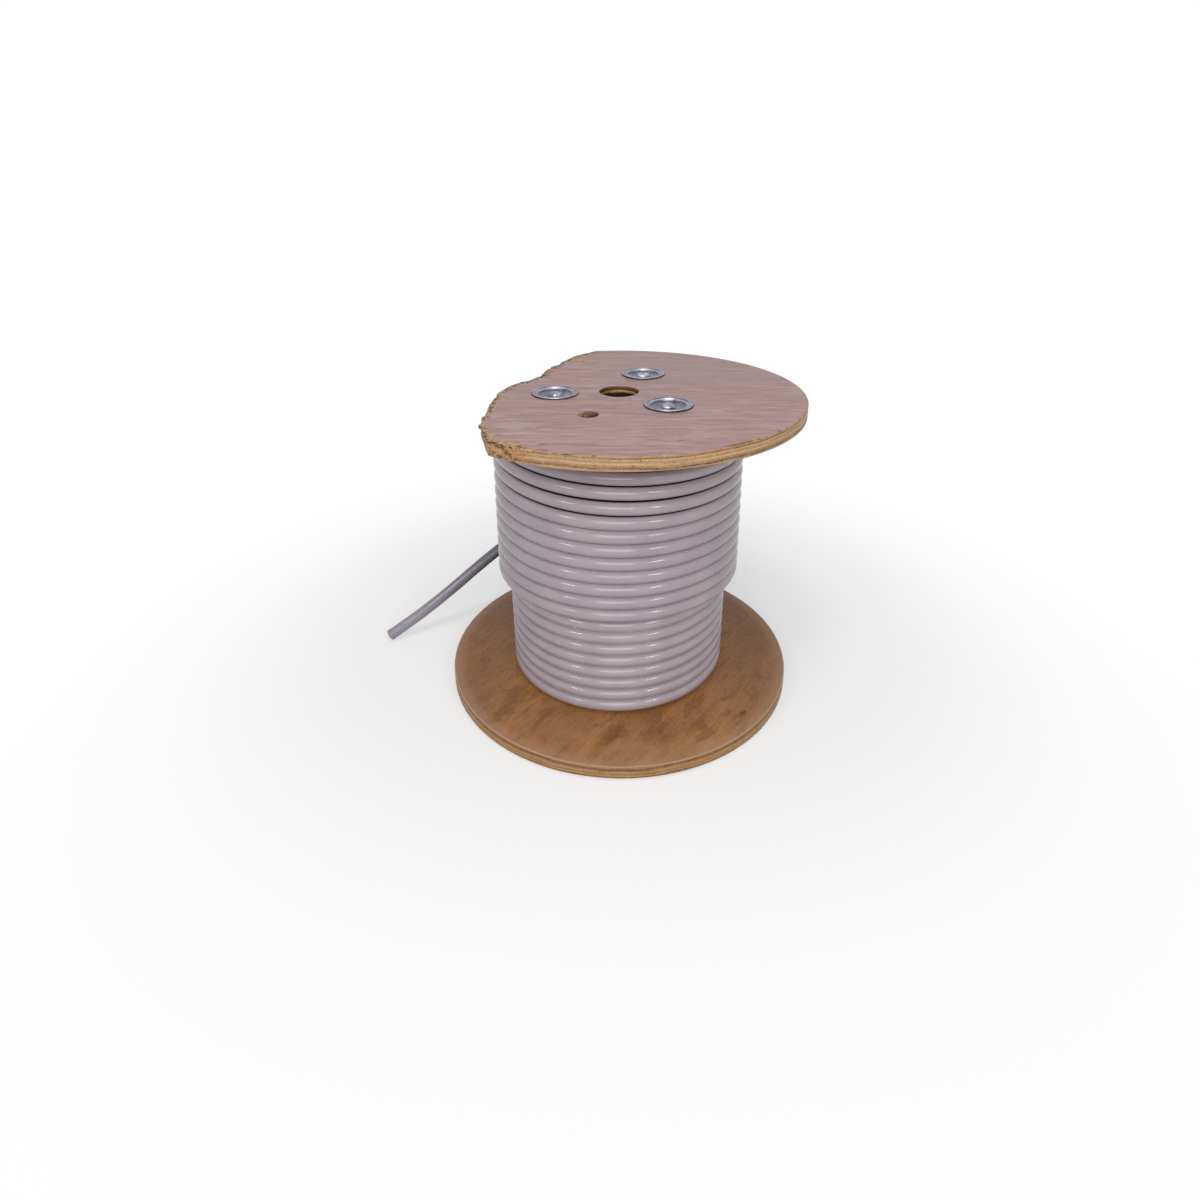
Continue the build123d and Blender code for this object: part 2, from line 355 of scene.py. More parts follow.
def plywood(name, outer, side, grain, sawn, marks):
    """Sawn plywood: a weathered mauve veneer outside and a brown one inside, with streaks along the grain.
    The edge has five plies by depth, toned by sawn, and torn or worn wood where the mesh's attributes say so.
    Marks (x, y, half length, half width, turn, strength, colour) lie on the face that shows."""
    material, tree, surface, place = finish(name)
    # Heights and places from split are in metres, depth and radius in millimetres.
    split = shade(tree, "SeparateXYZ", {"Vector": place}).outputs
    depth = times(tree, reckon(tree, "SUBTRACT", outer * mm, split["Z"]), side / mm)
    radius = inside(tree, place, (0, 0), 1, 1)
    edge_distance, wear_reach, dash_reach, torn = [
        shade(tree, "Attribute", attribute_name=label).outputs["Fac"]
        for label in ("edge_distance", "wear_reach", "dash_reach", "torn")]
    tone = cloud(tree, along_grain(tree, place, grain, 2.6), 42, 2.0)
    streak = cloud(tree, along_grain(tree, place, grain, 8), 6.0, 6.0, 0.68)
    blotch = cloud(tree, along_grain(tree, place, grain, 1.8), 15, 4.0, 0.6)
    hair = cloud(tree, along_grain(tree, place, grain, 26), 1.3, 3.0, 0.6)
    pore = cloud(tree, along_grain(tree, place, grain, 5), 1.5, 2.0, 0.6)
    fleck = cloud(tree, along_grain(tree, place, grain, 2.2), 3.4, 3.0, 0.7)
    sand = cloud(tree, place, 1.7, 2.0, 0.7)

    mauve = stain(tree, tone, (0.32, paint(160, 126, 126)), (0.46, paint(168, 134, 132)),
                  (0.58, paint(174, 141, 136)), (0.70, paint(172, 143, 134)))
    mauve = laid(tree, mauve, blotch, 0.52, 0.68, 0.45, paint(156, 124, 120))
    mauve = laid(tree, mauve, blotch, 0.46, 0.32, 0.45, paint(184, 158, 155))
    mauve = laid(tree, mauve, streak, 0.50, 0.64, 0.8, paint(142, 111, 112))
    mauve = laid(tree, mauve, streak, 0.48, 0.34, 0.7, paint(188, 162, 157))
    mauve = laid(tree, mauve, hair, 0.5, 0.64, 0.6, paint(138, 107, 108))
    mauve = laid(tree, mauve, hair, 0.48, 0.35, 0.5, paint(192, 168, 163))
    mauve = laid(tree, mauve, pore, 0.66, 0.76, 0.5, paint(112, 86, 90))
    mauve = laid(tree, mauve, fleck, 0.70, 0.80, 0.45, paint(120, 92, 92))
    mauve = laid(tree, mauve, inside(tree, place, (90, 95), 130, 110), 1.1, 0.4, 0.4, paint(160, 134, 138))

    brown = stain(tree, tone, (0.30, paint(149, 102, 61)), (0.45, paint(164, 113, 67)),
                  (0.56, paint(177, 124, 73)), (0.68, paint(168, 120, 78)))
    brown = laid(tree, brown, blotch, 0.50, 0.62, 0.6, paint(126, 82, 48))
    brown = laid(tree, brown, blotch, 0.46, 0.32, 0.4, paint(176, 130, 86))
    # Painted shade: the brown face darker towards its sides and its back.
    across = reckon(tree, "ABSOLUTE", split["X"])
    brown = laid(tree, brown, across, 0.09, 0.17, 0.65, paint(124, 87, 62))
    brown = laid(tree, brown, split["Y"], 0.0, 0.1, 0.6, paint(124, 90, 68))
    brown = laid(tree, brown, streak, 0.54, 0.70, 0.3, paint(116, 77, 48))
    brown = laid(tree, brown, streak, 0.46, 0.32, 0.3, paint(176, 134, 92))
    brown = laid(tree, brown, hair, 0.5, 0.66, 0.4, paint(116, 76, 48))
    brown = laid(tree, brown, pore, 0.62, 0.74, 0.45, paint(88, 56, 36))
    brown = laid(tree, brown, sand, 0.54, 0.66, 0.4, paint(190, 150, 108))
    brown = laid(tree, brown, radius, 182, 197, 0.45, paint(178, 142, 118))

    wobble = times(tree, reckon(tree, "SUBTRACT", cloud(tree, place, 55, 2.0), 0.5), 5.0)
    level = reckon(tree, "ADD", depth, wobble)
    layer = reckon(tree, "DIVIDE", level, flange_thickness)
    plies = stain(tree, layer,
                  (0.0, paint(184, 150, 120)), (0.09, paint(160, 122, 86)), (0.16, paint(144, 104, 66)),
                  (0.23, paint(214, 184, 138)), (0.32, paint(178, 142, 104)), (0.41, paint(172, 136, 102)),
                  (0.50, paint(216, 184, 140)), (0.60, paint(180, 144, 108)), (0.70, paint(166, 128, 92)),
                  (0.77, paint(118, 82, 52)), (0.84, paint(150, 114, 82)), (0.92, paint(190, 158, 128)),
                  (1.0, paint(178, 148, 122)))
    plies = laid(tree, plies, cloud(tree, place, 34, 2.0), 0.46, 0.66, 0.45, paint(178, 142, 104))
    arc = times(tree, reckon(tree, "ARCTAN2", split["Y"], split["X"]), flange_radius * mm / 12)
    unrolled = shade(tree, "CombineXYZ", {"X": arc, "Y": 0, "Z": split["Z"]}).outputs[0]
    thread = cloud(tree, unrolled, 1.9, 4.0, 0.62)
    grit = cloud(tree, place, 2.2, 4.0, 0.65)
    plies = laid(tree, plies, thread, 0.54, 0.70, 0.5, paint(128, 92, 62))
    plies = laid(tree, plies, thread, 0.46, 0.32, 0.4, paint(212, 184, 148))
    plies = laid(tree, plies, grit, 0.56, 0.68, 0.6, paint(116, 78, 48))
    plies = laid(tree, plies, grit, 0.44, 0.34, 0.5, paint(214, 182, 134))
    for line, width, least in ((1.9, 0.6, 0.56), (11.2, 0.7, 0.50)):
        broken_up = rises(tree, cloud(tree, place, 6 + line, 4.0, 0.7), least, least + 0.08)
        from_line = reckon(tree, "ABSOLUTE", reckon(tree, "SUBTRACT", level, line))
        plies = over(tree, times(tree, broken_up, rises(tree, from_line, width, 0.4 * width)), plies,
                     paint(86, 52, 34))
    # Painted shade: a dark line along the edge's inner arris.
    plies = laid(tree, plies, depth, 13.2, 13.7, 0.6, paint(104, 80, 66))
    plies = over(tree, 1.0, plies, sawn, "MULTIPLY")
    # The walls of the bore and holes: ply tones, with painted shade that goes to black with depth.
    deep = reckon(tree, "ADD", reckon(tree, "DIVIDE", depth, flange_thickness),
                  times(tree, reckon(tree, "SUBTRACT", cloud(tree, place, 12, 2.0), 0.5), 0.25))
    bore_wall_and_shade = stain(tree, deep, (0.0, paint(114, 84, 58)), (0.20, paint(92, 64, 40)), (0.30, paint(70, 44, 24)),
                  (0.40, paint(204, 158, 104)), (0.49, paint(180, 134, 82)), (0.56, paint(62, 38, 20)),
                  (0.64, paint(28, 18, 12)), (0.76, paint(14, 10, 9)), (1.0, paint(9, 7, 7)))
    bore_wall_and_shade = laid(tree, bore_wall_and_shade, grit, 0.54, 0.66, 0.6, paint(58, 34, 20))
    # Painted shade: the holes' walls darker on their left side, and dark deep in the pin hole.
    bore_wall_and_shade = laid(tree, bore_wall_and_shade, split["X"], 0.004, -0.022, 0.55, paint(54, 32, 20))
    in_pin_hole = rises(tree, inside(tree, place, spot(pin_hole_reach, pin_hole_angle), 13, 13), 1.1, 1.0)
    bore_wall_and_shade = over(tree, times(tree, in_pin_hole, rises(tree, depth, 1.6, 3.2)), bore_wall_and_shade, paint(44, 20, 14))
    plies = over(tree, rises(tree, radius, 120, 100), plies, bore_wall_and_shade)

    fibres = cloud(tree, along_grain(tree, place, 0, 2.4), 5.0, 5.0, 0.7)
    splintered = stain(tree, fibres,
                       (0.38, paint(58, 36, 28)), (0.44, paint(112, 74, 46)), (0.49, paint(168, 124, 78)),
                       (0.56, paint(200, 160, 110)), (0.65, paint(136, 96, 64)))
    splintered = laid(tree, splintered, grit, 0.55, 0.64, 0.7, paint(74, 44, 30))
    edge = over(tree, torn, plies, splintered)

    bite = reckon(tree, "SUBTRACT", cloud(tree, along_grain(tree, place, 0, 3.0), 4.6, 4.0, 0.65), 0.38)
    bite = times(tree, times(tree, bite, 4.8), wear_reach)
    worn = rises(tree, reckon(tree, "SUBTRACT", edge_distance, bite), 0.5, -0.3)
    bare = stain(tree, fibres,
                 (0.38, paint(70, 42, 30)), (0.44, paint(132, 92, 56)), (0.49, paint(180, 142, 92)),
                 (0.55, paint(196, 164, 124)), (0.60, paint(146, 104, 66)), (0.66, paint(84, 52, 36)))
    outer_face = over(tree, worn, mauve, bare)
    uneven = times(tree, reckon(tree, "SUBTRACT", fleck, 0.5), 2.6)
    for x, y, half_length, half_width, turn, strength, colour in marks:
        away = reckon(tree, "ADD", inside(tree, place, (x, y), half_length, half_width, turn), uneven)
        if outer > bottom_inside:
            outer_face = laid(tree, outer_face, away, 1.15, 0.75, strength, colour)
        else:
            brown = laid(tree, brown, away, 1.4, 0.5, strength, colour)
    dash = times(tree, reckon(tree, "SUBTRACT", cloud(tree, place, 3.8, 2.0, 0.5), 0.44), 9.0)
    dash = reckon(tree, "SUBTRACT", edge_distance, times(tree, dash, dash_reach))
    # Painted highlight: a pale line on the bore's rim, on its front half only.
    rim = times(tree, rises(tree, radius, 23.4, 22.6), rises(tree, split["Y"], 0.0, -0.016))
    outer_face = over(tree, times(tree, rim, 0.85), outer_face, paint(224, 208, 206))
    # Painted shade: a dark ring in the wood round each cup, under its raised rim.
    for x, y in rod_places:
        from_cup = inside(tree, place, (x, y), cup_radius, cup_radius)
        outer_face = laid(tree, outer_face, from_cup, 1.07, 0.99, 0.8, paint(66, 50, 52))
    brown = laid(tree, brown, edge_distance, 1.8, 0.7, 0.5, paint(198, 170, 144))
    colour = over(tree, rises(tree, depth, 0.45, 0.12), edge, outer_face)
    dark = times(tree, rises(tree, dash, -0.1, -0.6), rises(tree, depth, 2.2, 0.9))
    colour = over(tree, times(tree, dark, 0.92), colour, paint(42, 24, 20))
    colour = over(tree, rises(tree, depth, 13.5, 13.85), colour, brown)
    tree.links.new(colour, surface.inputs["Base Color"])
    tree.links.new(reckon(tree, "ADD", times(tree, tone, 0.2), 0.42), surface.inputs["Roughness"])
    surface.inputs["Specular IOR Level"].default_value = 0.3
    grain_height = reckon(tree, "SUBTRACT", streak, times(tree, rises(tree, pore, 0.6, 0.75), 0.5))
    relief(tree, surface, over(tree, rises(tree, depth, 0.45, 0.12), thread, grain_height), 0.3)
    return material


outer_marks = [
    (-76.8, -164.4, 5.0, 1.6, 0, 0.5, paint(112, 84, 84)),
    (-66.6, -168.2, 5.0, 1.8, 0, 0.75, paint(98, 72, 74)),
    (-66.8, -128.8, 7.0, 1.2, 0, 0.7, paint(208, 188, 182)),
    (55.0, -158.2, 3.5, 1.1, 0, 0.8, paint(92, 62, 82)),
    (71.0, -165.9, 9.0, 1.1, 0, 0.5, paint(124, 92, 96)),
    (96.4, -72.5, 8.0, 1.2, 0, 0.5, paint(206, 186, 188)),
    (-98.0, -117.0, 20.0, 13.0, 0, 0.4, paint(186, 166, 158)),
    (99.0, -171.0, 9.0, 1.8, 25, 0.9, paint(112, 50, 40)),
    (105.0, -166.5, 10.0, 2.4, 28, 0.85, paint(140, 84, 62)),
    (113.0, -162.0, 8.0, 1.8, 34, 0.85, paint(104, 60, 46)),
    (-82.0, 80.0, 9.0, 2.4, 0, 0.9, paint(190, 144, 92)),
    (-77.0, 86.0, 8.0, 2.2, 0, 0.9, paint(176, 128, 78)),
    (-84.0, 92.0, 8.0, 2.6, 0, 0.9, paint(190, 148, 100)),
    (-80.0, 88.5, 4.0, 1.4, 0, 0.9, paint(112, 64, 40)),
    (-84.0, 83.0, 3.5, 1.2, 0, 0.9, paint(104, 62, 42)),
    (-52.0, 128.0, 9.0, 2.6, 0, 0.85, paint(186, 146, 98)),
    (-49.0, 136.0, 10.0, 2.8, 0, 0.9, paint(180, 136, 88)),
    (-46.0, 144.0, 8.0, 2.8, 0, 0.9, paint(190, 150, 102)),
    (-55.0, 139.0, 4.0, 1.6, 0, 0.85, paint(116, 72, 46)),
    (-45.0, 139.5, 4.0, 1.4, 0, 0.8, paint(122, 80, 52)),
    (-36.0, 160.0, 8.0, 3.0, 0, 0.8, paint(178, 138, 94)),
    (-34.0, 184.0, 7.0, 8.0, 0, 0.5, paint(138, 98, 72)),
]
smudges_and_front_light = [
    (135.5, -118.0, 4.0, 2.6, 40, 0.8, paint(80, 42, 28)),
    (131.0, -122.0, 8.0, 4.0, 40, 0.5, paint(110, 68, 44)),
    (-10.0, -158.0, 34.0, 8.0, 58, 0.55, paint(114, 76, 44)),
    (40.0, -150.0, 26.0, 7.0, 56, 0.45, paint(116, 78, 46)),
    (-118.0, -108.0, 34.0, 10.0, 60, 0.45, paint(112, 74, 46)),
    (88.0, -132.0, 26.0, 8.0, 50, 0.4, paint(118, 80, 48)),
    # Painted light: the two lighter marks below brighten the front of the face.
    (-60.0, -150.0, 24.0, 16.0, 60, 0.45, paint(172, 128, 82)),
    (20.0, -176.0, 50.0, 12.0, 0, 0.4, paint(176, 134, 90)),
]
top_board = board("top_board", 1200, True, top_outside, 1)
top_look = plywood("top plywood", top_outside, 1, 0.0, paint(249, 248, 246), outer_marks)
top_board.data.materials.append(top_look)
bottom_board = board("bottom_board", 720, False, bottom_outside, -1)
bottom_look = plywood("bottom plywood", bottom_outside, -1, 56.0, paint(220, 205, 184), smudges_and_front_light)
bottom_board.data.materials.append(bottom_look)
for piece, node in ((top_board, "top_flange"), (bottom_board, "bottom_flange")):
    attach(piece, "root")
    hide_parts(node)


# Barrel
# A round tube of spiral-wound cardboard, its ends in the flanges' grooves. It shows only through the bore.

def cardboard():
    """Brown board with the slanting seam of its wound strip: a saw tooth of angle plus height."""
    material, tree, surface, place = finish("wound cardboard")
    split = shade(tree, "SeparateXYZ", {"Vector": place})
    round_axis = reckon(tree, "ARCTAN2", split.outputs["Y"], split.outputs["X"])
    strip = reckon(tree, "ADD", reckon(tree, "DIVIDE", round_axis, 2 * np.pi),
                   reckon(tree, "DIVIDE", split.outputs["Z"], 120 * mm))
    seam = rises(tree, reckon(tree, "FRACT", strip), 0.96, 0.99)
    pulp = cloud(tree, place, 3.0, 5.0, 0.7)
    colour = stain(tree, pulp, (0.3, paint(128, 100, 72)), (0.7, paint(160, 130, 98)))
    tree.links.new(over(tree, seam, colour, paint(92, 68, 46)), surface.inputs["Base Color"])
    surface.inputs["Roughness"].default_value = 0.85
    relief(tree, surface, cloud(tree, place, 1.2, 3.0), 0.2)
    return material


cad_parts["core_barrel"].material_slots[0].material = cardboard()


# Tie rods and cup washers
# Three steel rods pull the flanges together. Their ends are hammered to round heads, over pressed cups of
# galvanised sheet with a rolled rim, which sit in the flanges' seats.

rod_profile = [(0.0, 2.75), (0.7, 2.8), (1.5, 3.15), (3.4, 3.1), (5.6, 2.65), (6.9, 1.8), (7.4, 0.9),
               (7.2, 0.05)]
rod_radius = 4.0
cup_depth = 2.0
cup_steps = 96
cup_profile = [(4.6, -2.0), (9.0, -2.0), (13.0, -1.85), (15.6, -1.6), (17.4, -1.15), (18.6, -0.2),
               (19.5, 1.0), (20.2, 1.9), (21.0, 2.38), (22.2, 2.5), (23.8, 2.45), (24.7, 2.1),
               (25.0, 1.6), (24.9, 1.15), (24.4, 0.95), (23.2, 1.0), (21.9, 1.0), (20.7, 0.7),
               (19.9, 0.1), (18.9, -1.0), (17.9, -2.15), (17.0, -3.1), (16.3, -3.5), (4.6, -3.5)]


def galvanised(name, pits, dull, middle, bright):
    """Zinc on steel: crystals of uneven brightness, smears, and dirt in small pits. Where the mesh gives its
    distance across from a cup's middle, the foot of the cup's wall is darkened by painted shade and its bends
    carry painted highlights."""
    material, tree, surface, place = finish(name)
    spangle = shade(tree, "TexVoronoi", {"Vector": place, "Scale": 1 / (3.2 * mm)}).outputs["Color"]
    spangle = shade(tree, "SeparateXYZ", {"Vector": spangle}).outputs["X"]
    smear = cloud(tree, place, 9.0, 4.0, 0.6)
    fine = cloud(tree, place, 2.0, 3.0, 0.6)
    colour = stain(tree, smear, (0.36, dull), (0.5, middle), (0.64, bright))
    colour = over(tree, times(tree, spangle, 0.4), colour, middle)
    across = shade(tree, "Attribute", attribute_name="across").outputs["Fac"]
    # Painted shade at the foot of the cup's wall, and painted highlights on its bends.
    foot = reckon(tree, "ABSOLUTE", reckon(tree, "SUBTRACT", across, 17.6))
    colour = laid(tree, colour, foot, 1.4, 0.5, 0.5, paint(62, 60, 72))
    for highlight_ring, width in ((19.6, 0.8), (24.5, 0.6)):
        beside = reckon(tree, "ABSOLUTE", reckon(tree, "SUBTRACT", across, highlight_ring))
        colour = laid(tree, colour, beside, width, 0.3 * width, 0.4, paint(214, 212, 222))
    colour = laid(tree, colour, fine, 0.58, 0.70, pits, paint(52, 54, 66))
    tree.links.new(colour, surface.inputs["Base Color"])
    surface.inputs["Metallic"].default_value = 1.0
    rough = reckon(tree, "ADD", times(tree, spangle, 0.14), times(tree, smear, 0.3))
    tree.links.new(reckon(tree, "ADD", rough, 0.12), surface.inputs["Roughness"])
    relief(tree, surface, reckon(tree, "ADD", smear, times(tree, fine, 0.25)), 0.4)
    return material


zinc = galvanised("zinc", 0.5, paint(86, 86, 102), paint(120, 118, 134), paint(156, 154, 166))
steel = galvanised("rod steel", 0.9, paint(96, 98, 112), paint(158, 160, 172), paint(214, 214, 220))


def hammered(seed):
    """Uneven roundness: a few random waves round the axis."""
    draw = np.random.default_rng(seed)
    size, turn = draw.uniform(0.004, 0.016, 5), draw.uniform(0, 2 * np.pi, 5)

    def roundness(angles):
        """The factor on the radius at each angle."""
        return 1 + sum(size[wave] * np.cos((wave + 2) * angles + turn[wave]) for wave in range(5))

    return roundness


for number, centre in enumerate(rod_places, start=1):
    floors = (bottom_outside + cup_depth, top_outside - cup_depth)
    upper = [(radius, floors[1] + rise) for radius, rise in rod_profile] + [(rod_radius, floors[1])]
    lower = [(rod_radius, floors[0])] + [(radius, floors[0] - rise) for radius, rise in reversed(rod_profile)]
    middle = [(rod_radius, height) for height in (330.0, 230.0, 120.0, 16.0)]
    rod = drum_mesh(f"rod_{number}", turned(upper + middle + lower, 48, centre, hammered(number)),
                    sections_close=False)
    rod.data.materials.append(steel)
    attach(rod, "root")
    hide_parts(f"tie_rod_{number}")
    for end, face, side in (("top", top_outside, 1), ("bottom", bottom_outside, -1)):
        grid = turned([(radius, 0.0) for radius, rise in cup_profile], cup_steps, centre)
        angles = np.linspace(0, 2 * np.pi, cup_steps, endpoint=False)
        rise = np.array(cup_profile)[:, 1:]
        share = np.array(cup_profile)[:, :1] / cup_radius
        draw = np.random.default_rng(40 + number)
        dent = sum(size * np.cos(wave * angles + turn) for wave, size, turn in
                   zip((2, 3, 5, 7), draw.uniform(0.05, 0.16, 4), draw.uniform(0, 2 * np.pi, 4)))
        dent = (dent - dent.max())[None, :] * np.clip(share - 0.35, 0, 1) ** 1.5 * (rise > -1.9)
        grid[:, :, 2] = face + side * np.maximum(rise + dent, -seat_floor)
        cup = drum_mesh(f"cup_{end}_{number}", grid, flat_angle=50.0)
        place = np.empty(len(cup.data.vertices) * 3)
        cup.data.vertices.foreach_get("co", place)
        across, up = place.reshape(-1, 3).T[:2] / mm
        note(cup, "across", np.hypot(across - centre[0], up - centre[1]))
        cup.data.materials.append(zinc)
        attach(cup, "root")
        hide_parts(f"cup_washer_{end}_{number}")


# Winding
# One grey cable in a PVC sheath, wound on the barrel: a full inner layer from the bottom up, and an outer
# layer down over it. The outer turns are not quite even, and the upper ones stand a little apart.

cable_radius = 7.0
inner_reach, outer_reach = 117.7, 131.9
layer_steps = 120
# The bare turns of the inner layer stand out by bare_swell, and both layers are moved along X by sway.
bare_swell, sway = 1.1, -1.3
play = 0.1
inner_pitch, inner_start, inner_front = 14.2, -267.0, 26.1
swell_until, covered_from, inner_end, inner_top = 2700.0, 3146.0, 7260.0, 323.3
# Heights of the outer turns' middles at the left, the front and the right, from the top turn down.
column_angles = (-152.0, -94.0, -38.0)
turn_heights = [
    (318.0, 311.0, 308.9), (302.2, 296.5, 293.9), (286.5, 281.3, 278.9), (270.9, 265.5, 263.7),
    (254.3, 249.7, 248.7), (237.8, 234.4, 234.4), (222.6, 219.7, 220.2), (207.2, 205.1, 205.8),
    (191.2, 190.2, 191.4), (175.4, 175.7, 177.1), (159.8, 161.3, 162.7), (144.9, 146.8, 148.2),
]
outer_start, outer_end = -301.0, 4070.0
# Degrees past its start between which the outer coil climbs onto the inner one, and degrees before its end
# over which it loses its sway, to meet the free end.
climb, unsway = (15.0, 60.0), 120.0
# An outer turn's least and greatest half height.
least_half, most_half = 6.9, 7.8
tail_height = 137.4


def smoothed(heights, span):
    """A running mean, which turns straight runs between measured heights into one bend."""
    ends = np.pad(heights, span, mode="edge")
    return np.convolve(ends, np.ones(2 * span + 1) / (2 * span + 1), mode="valid")


def inner_height(degrees):
    """The inner layer climbs one pitch a turn, and a little faster where it is covered."""
    bare = inner_front + inner_pitch * (degrees - column_angles[1]) / 360
    at_cover = inner_front + inner_pitch * (covered_from - column_angles[1]) / 360
    rest = at_cover + (inner_top - at_cover) * (degrees - covered_from) / (inner_end - covered_from)
    return np.maximum(np.where(degrees < covered_from, bare, rest), bottom_inside + cable_radius + play)


def outer_height(degrees):
    """The outer layer passes through its measured heights, from the top of the inner layer to the tail."""
    stops = [(outer_start, inner_top), (outer_start + 60, inner_top - 1.0)]
    stops += [(column + 360 * turn, height) for turn, heights in enumerate(turn_heights)
              for column, height in zip(column_angles, heights)]
    stops.append((outer_end, tail_height))
    return np.interp(degrees, *zip(*stops))


def coil(name, degrees, reach, height, above, below, sides, aside):
    """Round cable along a screw line: the centre is at reach and height for each angle, and the section is
    an oval with half height above and below so that turns bear on each other. aside moves it along X."""
    around = np.linspace(0, 2 * np.pi, sides, endpoint=False)
    angle = np.radians(degrees)[:, None]
    radius = reach[:, None] + cable_radius * np.cos(around)
    half = np.where(np.sin(around) > 0, above[:, None], below[:, None])
    up = height[:, None] + half * np.sin(around)
    points = np.stack([radius * np.cos(angle) + aside[:, None], radius * np.sin(angle), up], axis=2)
    return drum_mesh(name, points, sections_close=False)


def sheath():
    """Grey PVC: semi-gloss and faintly cloudy, with dust and scuffs that dull the gloss. Painted shade makes
    it black where the inner layer lies hidden behind the outer one and in the crevices between outer turns,
    below the top turn. The free end is darkened by painted shade, most near the drum."""
    material, tree, surface, place = finish("grey sheath")
    # The distance from the axis, away, is in millimetres, and the height, up, in metres.
    broad = cloud(tree, place, 38, 2.0)
    dust = cloud(tree, place, 2.2, 4.0, 0.7)
    scuff = cloud(tree, place, 7.0, 4.0, 0.65)
    colour = stain(tree, broad, (0.35, paint(166, 155, 162)), (0.65, paint(174, 163, 169)))
    colour = laid(tree, colour, dust, 0.6, 0.75, 0.35, paint(140, 131, 138))
    colour = laid(tree, colour, scuff, 0.62, 0.75, 0.25, paint(190, 184, 188))
    away = inside(tree, place, (sway, 0), 1, 1)
    up = shade(tree, "SeparateXYZ", {"Vector": place}).outputs["Z"]
    # Painted shade: near black where the inner layer lies behind the outer one and in the crevices between
    # outer turns.
    hidden = times(tree, rises(tree, away, 129, 125.5), rises(tree, up, 0.150, 0.158))
    crevice = times(tree, rises(tree, away, 134.6, 132.0), rises(tree, up, 0.236, 0.262))
    below_top_turn = rises(tree, up, 0.3185, 0.3155)
    groove_shade = times(tree, reckon(tree, "MAXIMUM", hidden, crevice), below_top_turn)
    colour = over(tree, groove_shade, colour, paint(14, 12, 13))
    # Painted shade: the free end darker than the winding, with a painted shadow that is darkest near the
    # drum.
    paid_out = rises(tree, inside(tree, place, (0, 0), 1, 1), 137, 172)
    colour = over(tree, paid_out, colour, paint(220, 224, 234), "MULTIPLY")
    near_drum = rises(tree, inside(tree, place, (-80, 112), 110, 110), 2.0, 0.4)
    shaded = times(tree, paid_out, near_drum)
    colour = over(tree, times(tree, shaded, 0.8), colour, paint(62, 61, 71))
    tree.links.new(colour, surface.inputs["Base Color"])
    tree.links.new(reckon(tree, "ADD", times(tree, scuff, 0.16), 0.07), surface.inputs["Roughness"])
    surface.inputs["Specular IOR Level"].default_value = 0.42
    relief(tree, surface, cloud(tree, place, 16, 1.0), 0.12)
    return material


grey_sheath = sheath()
degrees = np.arange(inner_start, inner_end + 1, 360 / layer_steps)
# The cable's start is pressed flat under the turn that climbs over it at the back.
ceiling = inner_height(degrees + 360) - cable_radius - play
half = np.clip((ceiling - bottom_inside - play) / 2, 4.0, inner_pitch / 2)
height = np.where(degrees < inner_start + 110, bottom_inside + play + half, inner_height(degrees))
swell = np.interp(degrees, (swell_until, covered_from), (bare_swell, 0.0))
inner_coil = coil("inner_coil", degrees, inner_reach + swell, height, half, half, 16,
                  np.full(degrees.size, sway))

degrees = np.arange(outer_start, outer_end + 1, 360 / layer_steps)
turn = layer_steps
height = smoothed(outer_height(degrees), 7)
height[-1] = tail_height
over_it = np.concatenate([np.full(turn, np.inf), height[:-turn]]) - height
under_it = height - np.concatenate([height[turn:], np.full(turn, -np.inf)])
# The upper turns stand apart, down to the degrees where they close up.
closing, gaps = (900, 1240), (1.9, 0.1)
apart = np.interp(degrees, closing, gaps)
apart_above = np.interp(degrees - 360, closing, gaps)
above = np.clip((over_it - apart_above) / 2, least_half, most_half)
below = np.clip((under_it - apart) / 2, least_half, most_half)
above[:turn], below[-turn:] = cable_radius, cable_radius
reach = np.interp(degrees - outer_start, climb, (inner_reach, outer_reach))
outer_coil = coil("outer_coil", degrees, smoothed(reach, 5), height, above, below, 20,
                  np.interp(degrees, (outer_end - unsway, outer_end), (sway, 0.0)))
for piece, node in ((inner_coil, "cable_inner_layer"), (outer_coil, "cable_outer_layer")):
    piece.data.materials.append(grey_sheath)
    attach(piece, "root")
    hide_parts(node)


# Free end
# The same cable leaves the lowest outer turn at the back, bends down and comes to rest on the floor. Its
# sawn end shows five cores in their filler.

tail_route = [(-0.04511, 0.12394, 0.1374), (-0.08082, 0.11094, 0.1362), (-0.1239, 0.0951, 0.1285),
              (-0.1716, 0.0785, 0.0953), (-0.2230, 0.0602, 0.0541), (-0.2627, 0.0452, 0.0264),
              (-0.2954, 0.0322, 0.0070)]

line = bpy.data.curves.new("free_end", "CURVE")
line.dimensions = "3D"
line.resolution_u = 24
line.bevel_depth = cable_radius * mm
line.bevel_resolution = 5
line.use_fill_caps = True
route = line.splines.new("NURBS")
route.points.add(len(tail_route) - 1)
for point, place in zip(route.points, tail_route):
    point.co = (*place, 1.0)
route.order_u = 3
route.use_endpoint_u = True
free_end = bpy.data.objects.new("free_end", line)
bpy.context.collection.objects.link(free_end)
line.materials.append(grey_sheath)

# The sawn face, by radius and distance out along the cable: the filler inside the sheath, and one core with
# its insulation and bare copper.
filler_profile = [(0.0, 0.15), (5.2, 0.15), (5.7, 0.3), (6.4, 0.55), (6.9, 0.35), (7.02, -0.4), (7.02, -3.0),
                  (0.0, -3.0)]
core_profile = [(1.92, -0.6), (1.95, 0.75), (1.75, 1.0), (1.25, 1.0), (1.15, 0.85)]
copper_profile = [(1.16, -0.6), (1.16, 1.35), (0.9, 1.6), (0.0, 1.65)]
core_reach, core_spacing, core_turn = 3.3, 72, 20
core_colours = [paint(112, 66, 44), paint(44, 44, 48), paint(128, 128, 132), paint(52, 86, 150),
                paint(96, 140, 58)]


